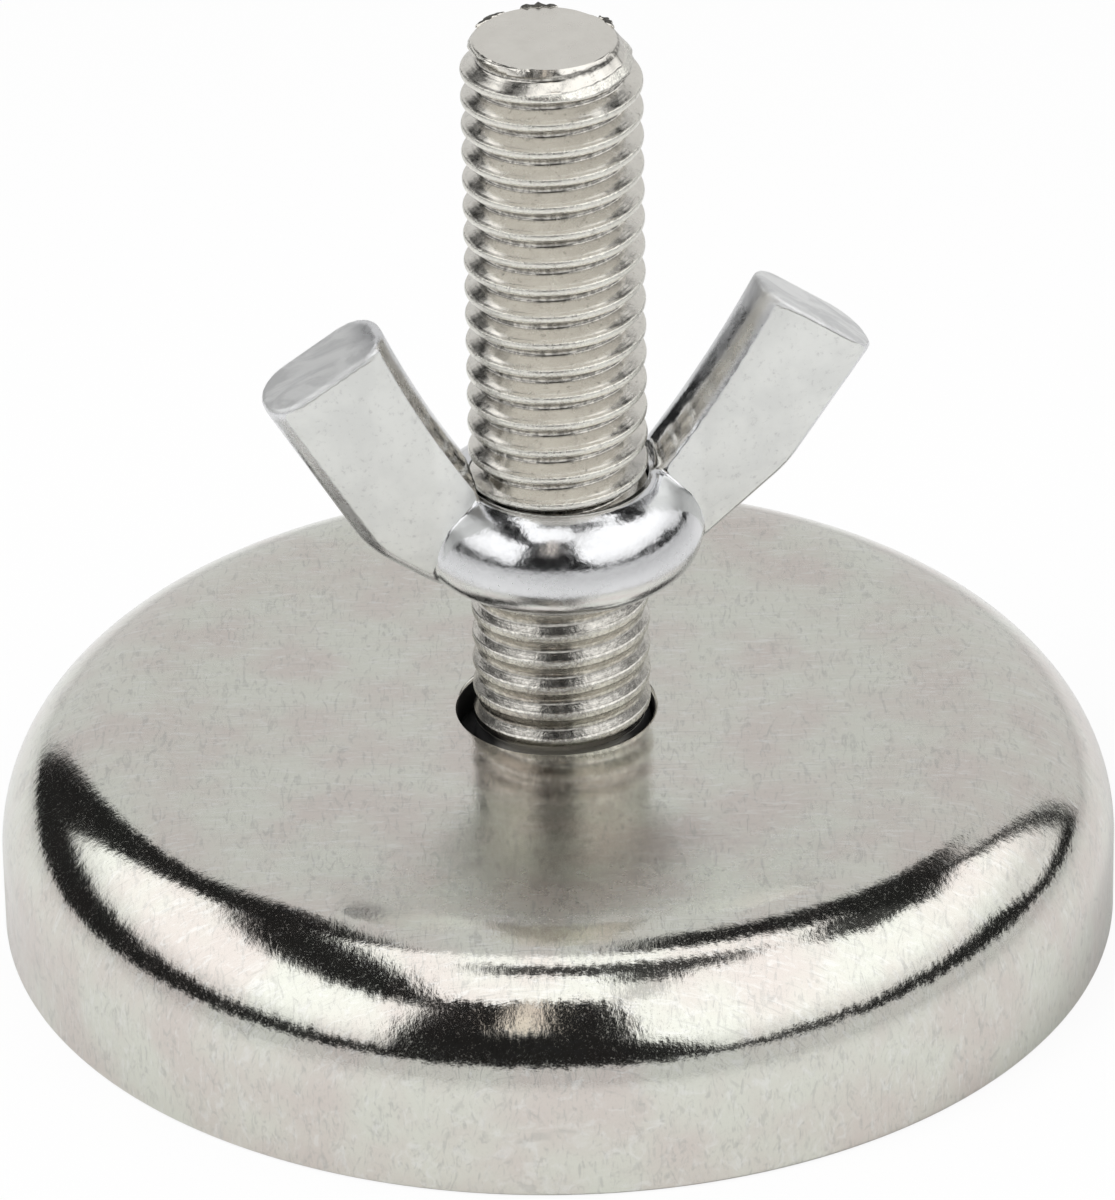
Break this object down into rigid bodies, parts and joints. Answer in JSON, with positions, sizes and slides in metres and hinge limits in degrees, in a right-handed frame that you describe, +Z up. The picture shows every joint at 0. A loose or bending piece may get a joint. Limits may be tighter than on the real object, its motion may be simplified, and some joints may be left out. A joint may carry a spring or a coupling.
{
  "type": "pot magnet",
  "caption": "Round pot magnet: a plated steel cup around a ring magnet, with a loose threaded bolt up through its centre and a wing nut to clamp a thin plate.",
  "frame": {"origin": "on the cup's axis, in the plane of the cup's open rim, which is the magnetic face", "axes": "+Z up along the cup's axis and the bolt; +X to the right in the picture, towards the far wing"},
  "size_m": [0.06, 0.06, 0.0518],
  "materials": {
    "cup_nickel": "bright nickel plating, finely scratched",
    "ferrite": "dull ground ferrite",
    "resin": "dark cast resin",
    "bolt_nickel": "bright nickel plating, worn on the thread",
    "nut_zinc": "bright zinc plating, brushed on the wings"
  },
  "bodies": {
    "pot": {"steel_cup": "cup_nickel", "ring_magnet": "ferrite", "resin_bond": "resin"},
    "bolt": {"hex_bolt": "bolt_nickel"},
    "nut": {"wing_nut": "nut_zinc"}
  },
  "joints": [
    {"name": "bolt_spin", "type": "hinge", "parent": "pot", "child": "bolt", "pos_m": [0.00035, 0, 0.0122], "axis": [0, 0, 1], "range_deg": [-5440, 1945]},
    {"name": "nut_travel", "type": "slide", "parent": "pot", "child": "nut", "axis": [0, 0, 1], "range_m": [-0.0086, 0.024]}
  ],
  "couplings": [
    {"joint": "nut_travel", "follows": "bolt_spin", "m_per_rad": -0.00025266}
  ]
}
